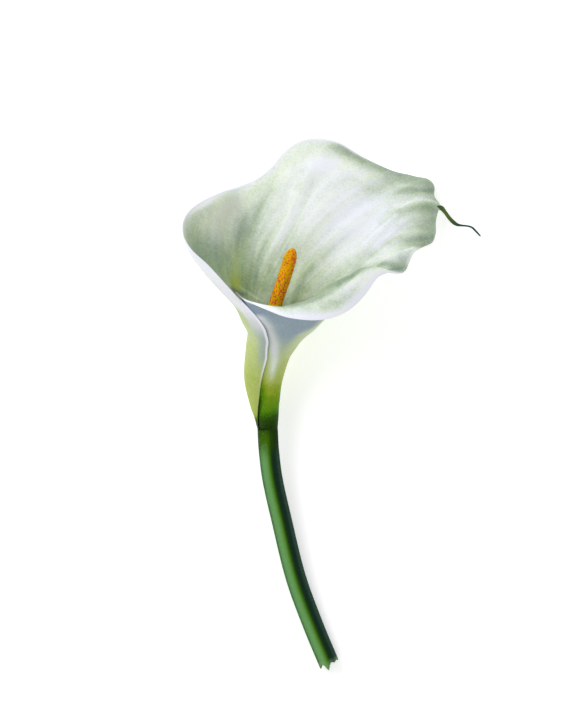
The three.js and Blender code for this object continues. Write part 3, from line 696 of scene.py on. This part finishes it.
# The pith: its narrowest ring and width as shares of the radius, where it starts to sink, how much
# of the tear it follows, and its roughness, which calms down in the middle
PITH_RINGS = 7
PITH_MIDDLE = 0.12
PITH_WIDTH = 0.8
PITH_RIM = (0.45, 0.95)
PITH_TEAR = 0.9
PITH_ROUGHNESS = 0.35
PITH_CALM = 0.4
PITH_HEIGHT = -0.02


def torn_reach(angles, rng):
    """How far the torn fibres reach past the cut, with finer splinters between the big ones."""
    big = np.array(TORN_END)
    turn = (angles + np.pi / 2) / (2 * np.pi) * len(big)
    low = np.floor(turn).astype(int)
    reach = mix(big[low % len(big)], big[(low + 1) % len(big)], turn - low)
    return reach + rng.uniform(-SPLINTER_REACH, SPLINTER_REACH, len(angles))


def build_scape():
    rng = np.random.default_rng(STALK_SEED)
    angles = turns(STALK_SIDES) - np.pi / 2
    torn = torn_reach(angles, rng)
    share = np.r_[0, np.linspace(FIRST_RING, 1, STALK_STEPS)]
    skin = along_curve(AXIS_KNOTS, AXIS, SHOULDER_AT * share)
    skin[0][-1] -= skin[1][-1] * (SHOULDER_GAP + CRISP)
    sway = SKIN_SWAY * np.sin(SKIN_SWAY_TURN * np.linspace(0, 1, len(share)))
    ridges = SKIN_RIDGE_HEIGHT * np.cos(angles * SKIN_RIDGES + sway[:, None])
    skin_reach = -torn * (1 - smooth(share, 0, TEAR_FADE))[:, None]

    # the torn face: from the sunk pith out to the skin's ragged edge
    steps = np.linspace(1, 0, PITH_RINGS, endpoint=False)[::-1]
    pith_reach = np.array([
        TORN_PITH_DEPTH * (1 - smooth(s, *PITH_RIM)) - torn * s**2 * PITH_TEAR
        + rng.uniform(-PITH_ROUGHNESS, PITH_ROUGHNESS, STALK_SIDES) * mix(PITH_CALM, 1, s)
        for s in steps])
    pith_radius = STALK_RADIUS * (PITH_MIDDLE + PITH_WIDTH * steps)

    # the shoulder with its crisp edge, and the neck inside the tube
    neck_at = np.array([SHOULDER_AT] * 3 + [(SHOULDER_AT + SEAT_AT) / 2, SEAT_AT])
    neck = along_curve(AXIS_KNOTS, AXIS, neck_at)
    neck[0][:3] -= neck[1][:3] * SHOULDER_GAP
    neck_radius = np.array([STALK_RADIUS, STALK_RADIUS - CRISP] + [NECK_RADIUS] * 3)
    still = np.zeros(len(neck_at))

    curve = [np.concatenate([np.repeat(low[:1], PITH_RINGS, 0), low, high])
             for low, high in zip(skin, neck)]
    radius = np.concatenate([rings(pith_radius, STALK_SIDES), STALK_RADIUS + ridges,
                             rings(neck_radius, STALK_SIDES)])
    reach = np.concatenate([pith_reach, skin_reach, rings(still, STALK_SIDES)])
    height = np.r_[np.full(PITH_RINGS, PITH_HEIGHT), share, still + 1]
    bare = np.r_[np.ones(PITH_RINGS), 1 - smooth(share, 0, TEAR_COLOUR_FADE), still]
    look = {"torn": rings(bare, STALK_SIDES)}
    return tube_mesh("scape_stalk", curve, radius, angles, height, look, reach)


# The club, covered with close pollen florets

CLUB_SEED = 11
FLORETS_ROUND = 28
POINTS_PER_FLORET = 5
RINGS_PER_FLORET = 4
FLORET_PITCH = 0.7
FLORET_HEIGHT = 0.32
FLORET_HEIGHTS = (0.75, 1.15)
FLORET_RADIUS = 0.62
SPARE_ROWS = 4


def build_spadix():
    rng = np.random.default_rng(CLUB_SEED)
    length = (1 - SEAT_AT) * AXIS_LENGTH
    floret_rows = int(length / FLORET_PITCH)
    share = np.linspace(0, 1, floret_rows * RINGS_PER_FLORET + 1)
    curve = along_curve(AXIS_KNOTS, AXIS, mix(SEAT_AT, 1, share))
    curve[0][0] += curve[1][0] * SEAT_GAP
    around = turns(FLORETS_ROUND * POINTS_PER_FLORET)
    row_grid, turn_grid = np.meshgrid(share * length / FLORET_PITCH,
                                      around / (2 * np.pi) * FLORETS_ROUND, indexing="ij")

    # nearest floret of a staggered pattern, each with its own height and tone
    heights = rng.uniform(*FLORET_HEIGHTS, (floret_rows + SPARE_ROWS, FLORETS_ROUND))
    tones = rng.uniform(0, 1, heights.shape)
    nearest = np.full(row_grid.shape, np.inf)
    tone, tall = np.zeros(row_grid.shape), np.ones(row_grid.shape)
    for step in (0, 1):
        row = np.floor(row_grid).astype(int) + step
        shift = (row % 2) * 0.5
        column = np.round(turn_grid - shift).astype(int)
        far = np.hypot(row_grid - row, turn_grid - shift - column)
        floret = np.clip(row, 0, len(heights) - 1), column % FLORETS_ROUND
        tone = np.where(far < nearest, tones[floret], tone)
        tall = np.where(far < nearest, heights[floret], tall)
        nearest = np.minimum(far, nearest)
    dome = np.sqrt(np.clip(1 - (nearest / FLORET_RADIUS) ** 2, 0, 1))
    body = round_end((1 - share) * length / SPADIX_TIP)[:, None]
    radius = (SPADIX_RADIUS + FLORET_HEIGHT * dome * tall) * body
    look = {"tone": tone, "dome": dome}
    return tube_mesh("spadix_club", curve, radius, around - np.pi / 2, share, look)


# The green tail at the tip of the bract

TAIL_SIDES = 20
TAIL_STEPS = 150


def build_tail():
    tip, v = np.array([TIP_AT]), np.array([TAIL_ROOT_AT])
    depth = fold_height(tip, v) + TAIL_ROOT_DEPTH
    root = (sheet_point(tip, v) + sheet_normal(tip, v) * depth[:, None])[0]
    rows = np.array([(*root, TAIL_ROOT_RADIUS), *TAIL])
    share = np.linspace(0, 1, TAIL_STEPS)
    curve = along_curve(knots_by_length(rows), rows, share)
    angles = turns(TAIL_SIDES)
    radius = ((curve[0][:, 3] * round_end((1 - share) / TAIL_END))[:, None]
              * (1 + TAIL_GROOVE_DEPTH * np.cos(TAIL_GROOVES * angles)))
    return tube_mesh("spathe_tail", curve, radius, angles, share, {})


# Materials. A number that a mesh carries per point is read by its name, and a tuple of three is a
# colour as seen, from 0 to 255.

# Sockets of a colour mix: its two colours and its result
MIX_FIRST, MIX_SECOND, MIX_RESULT = 6, 7, 2
SUBSURFACE_RADIUS = (1.0, 1.0, 0.8)


def srgb(r, g, b):
    """Linear colour from 0 to 255 values as seen."""
    def lin(c):
        c /= 255
        return c / 12.92 if c <= 0.04045 else ((c + 0.055) / 1.055) ** 2.4
    return (lin(r), lin(g), lin(b), 1)


def put(node, values):
    for socket, value in values.items():
        node.inputs[socket].default_value = value


class Nodes:
    """Short calls that add and join shader nodes."""

    def __init__(self, name, roughness, specular, subsurface=0.0, subsurface_scale=0.001):
        self.material = bpy.data.materials.new(name)
        self.material.use_nodes = True
        self.tree = self.material.node_tree
        self.shader = self.tree.nodes["Principled BSDF"]
        put(self.shader, {"Roughness": roughness, "Specular IOR Level": specular,
                          "Subsurface Weight": subsurface, "Subsurface Scale": subsurface_scale,
                          "Subsurface Radius": SUBSURFACE_RADIUS})

    def add(self, kind, **values):
        node = self.tree.nodes.new(kind)
        for key, value in values.items():
            setattr(node, key, value)
        return node

    def link(self, source, target):
        """Join a socket to another, or set a plain number or a colour on it."""
        if isinstance(source, (int, float)):
            target.default_value = source
        elif isinstance(source, tuple):
            target.default_value = srgb(*source)
        else:
            self.tree.links.new(source, target)

    def feed(self, node, sources):
        for socket, source in zip(node.inputs, sources):
            self.link(source, socket)
        return node.outputs[0]

    def value(self, name):
        return self.add("ShaderNodeAttribute", attribute_name=name).outputs["Fac"]

    def math(self, operation, a, b=0.0):
        return self.feed(self.add("ShaderNodeMath", operation=operation), (a, b))

    def times(self, *sources):
        return functools.reduce(lambda a, b: self.math("MULTIPLY", a, b), sources)

    def plus(self, *sources):
        return functools.reduce(lambda a, b: self.math("ADD", a, b), sources)

    def ramp(self, source, low, high):
        """0 below low, 1 above high, smooth between; low may be above high."""
        node = self.add("ShaderNodeMapRange", interpolation_type="SMOOTHSTEP")
        self.link(source, node.inputs["Value"])
        put(node, {"From Min": low, "From Max": high})
        return node.outputs["Result"]

    def sway(self, *pairs):
        """Sum of noises that each swing about 0 by a weight."""
        return self.plus(*(self.times(self.math("SUBTRACT", noise, 0.5), weight)
                           for noise, weight in pairs))

    def between(self, low, high, share):
        return self.plus(self.times(share, high - low), low)

    def mix(self, factor, a, b):
        node = self.add("ShaderNodeMix", data_type="RGBA", clamp_factor=True)
        self.link(factor, node.inputs["Factor"])
        self.link(a, node.inputs[MIX_FIRST])
        self.link(b, node.inputs[MIX_SECOND])
        return node.outputs[MIX_RESULT]

    def layer(self, under, source, strength, span, seen):
        """A colour laid over another where the source lies past a range."""
        return self.mix(self.times(self.ramp(source, *span), strength), under, seen)

    def tones(self, source, rows):
        """Colour by tone: rows of a tone and a colour as seen."""
        top = rows[-1][0]
        node = self.add("ShaderNodeValToRGB")
        ramp = node.color_ramp
        while len(ramp.elements) < len(rows):
            ramp.elements.new(0.5)
        for element, (tone, *seen) in zip(ramp.elements, rows):
            element.position = tone / top
            element.color = srgb(*seen)
        self.link(self.math("DIVIDE", source, top), node.inputs["Fac"])
        return node.outputs["Color"]

    def place(self):
        return self.add("ShaderNodeTexCoord").outputs["Object"]

    def vector(self, x, y, z=0.0):
        return self.feed(self.add("ShaderNodeCombineXYZ"), (x, y, z))

    def noise(self, vector, scale, detail=2.0, roughness=0.5):
        node = self.add("ShaderNodeTexNoise", normalize=True)
        self.link(vector, node.inputs["Vector"])
        put(node, {"Scale": scale, "Detail": detail, "Roughness": roughness})
        return node.outputs["Fac"]

    def bump(self, height, strength, distance):
        node = self.add("ShaderNodeBump")
        put(node, {"Strength": strength, "Distance": distance})
        self.link(height, node.inputs["Height"])
        self.tree.links.new(node.outputs[0], self.shader.inputs["Normal"])

    def colour(self, source):
        self.link(source, self.shader.inputs["Base Color"])
        return self.material


# Colours as seen by tone: inside, where low tones are mostly painted shade and the top painted light,
# where it is cool and where it is warm, and outside
COOL_TONES = [
    (0.0, 100, 116, 98), (0.25, 136, 152, 138), (0.5, 174, 186, 176), (0.75, 212, 219, 216),
    (0.92, 231, 235, 243), (1.05, 241, 243, 254),
]
WARM_TONES = [
    (0.0, 94, 118, 84), (0.25, 130, 156, 118), (0.5, 172, 192, 154), (0.75, 210, 224, 196),
    (0.92, 232, 240, 220), (1.05, 242, 247, 236),
]
OUTER_TONES = [
    (0.0, 26, 46, 6), (0.07, 44, 82, 6), (0.13, 84, 134, 10), (0.22, 138, 160, 32),
    (0.32, 164, 180, 84), (0.45, 180, 194, 122), (0.6, 192, 206, 158), (0.75, 212, 222, 200),
    (0.9, 232, 236, 236), (1.0, 240, 240, 248),
]
# Colours of the stalk from its left side to its right, and of its top under the bract: painted light
# and shade round them, lightest left of the middle and darkest on the right
STALK_TONES = [
    (0.0, 46, 84, 40), (0.06, 68, 112, 56), (0.13, 92, 143, 86), (0.24, 102, 152, 90),
    (0.31, 100, 150, 84), (0.4, 88, 138, 60), (0.49, 60, 106, 16), (0.59, 27, 56, 16),
    (0.68, 21, 44, 26), (0.78, 24, 46, 36), (0.88, 42, 72, 56), (0.97, 32, 60, 46), (1.0, 26, 46, 34),
]
COLLAR_TONES = [
    (0.0, 34, 62, 12), (0.1, 48, 84, 12), (0.25, 60, 98, 2), (0.45, 60, 98, 0),
    (0.55, 52, 88, 0), (0.62, 38, 70, 2), (0.8, 28, 56, 4), (1.0, 24, 46, 4),
]

# Noises of the bract: scale per metre, detail and roughness
BRACT_GRAIN = (1100.0, 2.0, 0.6)
BRACT_SPECK = (850.0, 2.0, 0.6)
BRACT_MOTTLE = (260.0, 2.0)
# Streaks: waves across half the sheet, waves along the flare, and a shift for another pattern
STREAKS = [(36.0, 2.4, 0.0), (15.0, 2.0, 4.0), (24.0, 2.6, 9.0)]
# Streaks are calmer at the rim, and the grain of the outside at its green foot
RIM_CALM = (0.85, 0.6)
RIM_CALM_SHARE = 0.4
FOOT_CALM = (0.12, 0.34)
FOOT_CALM_SHARE = 0.3
OUTER_STREAKS_ALONG = (0.5, 0.8)
OUTER_STREAKS = 0.25
# Colours laid over the inner face: its number on the mesh, strength and colour. The hollow tint is
# painted shadow and the corner tint painted shade.
INNER_TINTS = [
    ("yellow", 0.8, (170, 184, 70)), ("beige", 0.45, (214, 210, 194)),
    ("painted_hollow_shadow", 0.7, (88, 104, 118)), ("corner_shade", 0.9, (110, 124, 134)),
]
# Painted shadow under the lip, deeper toward the inner margin, with paler specks
UNDER_LIP = (142, 159, 175)
UNDER_LIP_DEEP = (116, 136, 157)
UNDER_LIP_SPECKS = (190, 199, 208)
# Colours of the pale edge of the flap and the painted highlight of the ridge, low and high along the
# sheet
PALE_ALONG = (0.56, 0.78)
PALE_LOW = (204, 207, 212)
PALE_HIGH = (238, 238, 244)
PALE_SPECKS = (176, 184, 192)
# White of the pale edge, with its painted highlight
RIM_WHITE = (238, 238, 250)
BRACT_ROUGHNESS = (0.44, 0.58)


def bract_material():
    n = Nodes("bract", 0.5, 0.05, subsurface=0.1, subsurface_scale=0.0006)
    vein, open_, along = n.value("vein"), n.value("flare"), n.value("along")
    fine, broad, tinge = (
        n.noise(n.vector(n.times(vein, across), n.times(open_, onward), shift), 1.0, 1.0)
        for across, onward, shift in STREAKS)
    grain, speck, mottle = (
        n.noise(n.place(), *kind) for kind in (BRACT_GRAIN, BRACT_SPECK, BRACT_MOTTLE))

    calm = n.between(RIM_CALM_SHARE, 1, n.ramp(open_, *RIM_CALM))
    streaks = n.times(n.sway((fine, 0.24), (broad, 0.32)), calm)
    # The inner tone carries painted shade and painted light of the folds.
    tone = n.plus(n.value("tone"), streaks, n.sway((grain, 0.4), (mottle, 0.17)))
    hue = n.plus(n.value("hue"), n.sway((tinge, 1.2), (speck, 1.7)))
    inner = n.mix(hue, n.tones(tone, COOL_TONES), n.tones(tone, WARM_TONES))
    for name, strength, seen in INNER_TINTS:
        inner = n.mix(n.times(n.value(name), strength), inner, seen)

    calm = n.between(FOOT_CALM_SHARE, 1, n.ramp(along, *FOOT_CALM))
    skin = n.times(n.sway((grain, 0.26), (mottle, 0.12)), calm)
    streaks = n.times(n.sway((broad, OUTER_STREAKS)), n.ramp(along, *OUTER_STREAKS_ALONG))
    outer = n.tones(n.plus(n.value("outer_tone"), skin, streaks), OUTER_TONES)
    # painted shadow under the lip and painted shade on the flap's edge
    painted_shade = n.mix(n.value("deep_painted_shade"), UNDER_LIP, UNDER_LIP_DEEP)
    painted_shade = n.mix(n.sway((speck, 1.2)), painted_shade, UNDER_LIP_SPECKS)
    outer = n.mix(n.times(n.value("painted_shade"), 0.9), outer, painted_shade)
    pale = n.mix(n.ramp(along, *PALE_ALONG), PALE_LOW, PALE_HIGH)
    pale = n.mix(n.sway((speck, 0.9)), pale, PALE_SPECKS)
    outer = n.mix(n.times(n.value("pale"), 0.85), outer, pale)

    colour = n.mix(n.value("inside"), outer, inner)
    colour = n.mix(n.times(n.value("edge"), 0.85), colour, RIM_WHITE)
    n.bump(n.plus(n.times(fine, 0.3), n.times(broad, 0.5), n.times(grain, 0.5)), 0.22, 0.0004)
    n.link(n.between(*BRACT_ROUGHNESS, grain), n.shader.inputs["Roughness"])
    return n.colour(colour)


# Noises of the stalk, and how far up it the green of its top begins
STALK_FIBRES = (22.0, 8.0)
STALK_GRAIN = (950.0, 2.0, 0.6)
STALK_FLECKS = (700.0, 2.0, 0.7)
PITH_GRAIN = (900.0, 3.0)
FLECK_RANGE = (0.52, 0.66)
COLLAR_RANGE = (0.86, 0.965)
# Layers of colour: strength, range and colour
# painted shade at the top of the stalk, under the bract
NECK_SHADE = (0.5, (0.97, 1.0), (28, 50, 6))
# flecks: dark ones on the shaded right side and light ones on the lit left side
FLECK_LAYERS = [
    (0.35, (0.5, 0.62), (14, 26, 48)),
    (0.16, (0.5, 0.35), (128, 178, 122)),
]
TORN_SKIN = (150, 190, 150)
PITH_DARK = (84, 122, 62)
PITH_LIGHT = (150, 182, 128)


def stalk_material():
    n = Nodes("stalk", 0.52, 0.03, subsurface=0.03, subsurface_scale=0.0006)
    around, height, torn = n.value("around"), n.value("height"), n.value("torn")
    round_waves, long_waves = STALK_FIBRES
    fibres = n.noise(n.vector(n.times(around, round_waves), n.times(height, long_waves)), 1.0, 2.0)
    grain = n.noise(n.place(), *STALK_GRAIN)
    side = n.plus(n.times(around, 0.5), 0.5, n.sway((fibres, 0.07), (grain, 0.05)))
    up = n.plus(height, n.sway((fibres, 0.02)))
    # painted light and shade by side, and the top's green near the bract
    colour = n.mix(n.ramp(up, *COLLAR_RANGE), n.tones(side, STALK_TONES), n.tones(side, COLLAR_TONES))
    colour = n.layer(colour, up, *NECK_SHADE)
    flecks = n.ramp(n.noise(n.place(), *STALK_FLECKS), *FLECK_RANGE)
    for strength, span, seen in FLECK_LAYERS:
        colour = n.layer(colour, side, n.times(flecks, strength), span, seen)
    colour = n.mix(n.times(torn, 0.3), colour, TORN_SKIN)
    pith = n.mix(n.noise(n.place(), *PITH_GRAIN), PITH_DARK, PITH_LIGHT)
    colour = n.mix(n.ramp(torn, 0.9, 1.0), colour, pith)
    n.bump(n.plus(fibres, n.times(grain, 0.4)), 0.25, 0.0003)
    return n.colour(colour)


CLUB_GRAIN = (1500.0, 2.0)
# Painted light on the club's left side and painted shade on its right
CLUB_SIDES = (-0.5, 0.9)
CLUB_LEFT = (255, 176, 0)
CLUB_RIGHT = (236, 156, 0)
# Layers of colour: strength, range and colour
CLUB_LOW = (0.25, (0.85, 0.45), (190, 150, 0))
CLUB_TIP = (0.45, (0.86, 0.97), (214, 140, 0))
CLUB_GREENS = (0.7, (0.3, 0.24), (186, 172, 0))
CLUB_OUTLINE = (0.5, (0.88, 0.99), (200, 176, 10))
CLUB_REDS = (0.85, (0.66, 0.74), (208, 68, 56))
# painted shade in the gaps between the florets
CLUB_GAPS = (0.6, (0.55, 0.1), (186, 124, 0))
# The red florets come closer toward the foot and the right side
MORE_REDS = 0.24
MORE_REDS_HEIGHT = (0.9, 0.5)
MORE_REDS_SIDE = (-0.8, 0.8)
REDS_SHIFT = 0.02
POLLEN = (255, 200, 40)


def club_material():
    n = Nodes("club", 0.75, 0.05)
    around, height, tone = n.value("around"), n.value("height"), n.value("tone")
    grain = n.noise(n.place(), *CLUB_GRAIN)
    more = n.times(n.ramp(height, *MORE_REDS_HEIGHT), n.ramp(around, *MORE_REDS_SIDE), MORE_REDS)
    colour = n.mix(n.ramp(around, *CLUB_SIDES), CLUB_LEFT, CLUB_RIGHT)
    for source, layer in (
            (height, CLUB_LOW), (height, CLUB_TIP), (tone, CLUB_GREENS),
            (n.math("ABSOLUTE", around), CLUB_OUTLINE), (n.plus(tone, REDS_SHIFT, more), CLUB_REDS),
            (n.value("dome"), CLUB_GAPS)):
        colour = n.layer(colour, source, *layer)
    colour = n.mix(n.sway((grain, 0.6)), colour, POLLEN)
    n.bump(grain, 0.2, 0.0002)
    return n.colour(colour)


TAIL_FIBRES = (700.0, 3.0)
TAIL_YELLOW_AT = 0.35
TAIL_YELLOW_WIDTH = 0.3
TAIL_GREEN = (44, 78, 58)
TAIL_YELLOW = (92, 116, 48)
TAIL_DARK = (30, 56, 40)


def tail_material():
    n = Nodes("tail", 0.5, 0.06, subsurface=0.03, subsurface_scale=0.0005)
    fibres = n.noise(n.place(), *TAIL_FIBRES)
    far = n.math("ABSOLUTE", n.plus(n.value("height"), -TAIL_YELLOW_AT))
    colour = n.mix(n.ramp(far, TAIL_YELLOW_WIDTH, 0), TAIL_GREEN, TAIL_YELLOW)
    colour = n.mix(n.times(fibres, 0.5), colour, TAIL_DARK)
    n.bump(fibres, 0.3, 0.0002)
    return n.colour(colour)


for piece, material, slot, node in (
        (build_spathe(), bract_material(), "bract", "spathe"),
        (build_tail(), tail_material(), "bract", "spathe"),
        (build_scape(), stalk_material(), "stalk", "scape"),
        (build_spadix(), club_material(), "club", "spadix")):
    piece.data.materials.append(material)
    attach(piece, "root")
    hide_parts(node)

# Floor in millimetres, light and camera in metres

FLOOR_CORNERS = [(-2500, -2500, -0.2), (2500, -2500, -0.2), (2500, 2500, -0.2), (-2500, 2500, -0.2)]
FLOOR_GLOW = 0.32
FLOOR_PAPER = (6.0, 2.0)
SKY_STRENGTH = 0.72
LAMP_PLACE = np.array((-0.8, 0.7, 1.1))
LAMP_AIM = np.array((-0.02, 0.05, 0.03))
LAMP_SIZE = 0.9
LAMP_POWER = 8.4
SENSOR = 36
LENS = 1000
FRAME_HEIGHT = 0.36
CAMERA_OVER = (-0.022, 0.02225, 0.03)
WHITE = (1, 1, 1, 1)


def floor_material():
    n = Nodes("floor", 0.9, 0.0)
    put(n.shader, {"Emission Color": WHITE, "Emission Strength": FLOOR_GLOW})
    return n.colour(n.mix(n.noise(n.place(), *FLOOR_PAPER), (252, 252, 252), (255, 255, 255)))


floor = new_object("floor", FLOOR_CORNERS, [(0, 1, 2, 3)], {})
floor.data.materials.append(floor_material())

world = bpy.data.worlds.new("soft light")
world.use_nodes = True
put(world.node_tree.nodes["Background"], {"Color": WHITE, "Strength": SKY_STRENGTH})
bpy.context.scene.world = world

lamp_data = bpy.data.lights.new("key", "AREA")
lamp_data.energy = LAMP_POWER
lamp_data.size = LAMP_SIZE
lamp = bpy.data.objects.new("key", lamp_data)
lamp.location = LAMP_PLACE
aim = unit(LAMP_AIM - LAMP_PLACE)
lamp.rotation_euler = (math.acos(-aim[2]), 0, math.atan2(aim[1], aim[0]) - math.pi / 2)
bpy.context.scene.collection.objects.link(lamp)

camera_data = bpy.data.cameras.new("camera")
camera_data.sensor_width = SENSOR
camera_data.lens = LENS
camera = bpy.data.objects.new("camera", camera_data)
camera.location = np.array(CAMERA_OVER) + (0, 0, FRAME_HEIGHT * LENS / SENSOR)
bpy.context.scene.collection.objects.link(camera)
bpy.context.scene.camera = camera

bpy.context.scene.view_settings.view_transform = "Standard"
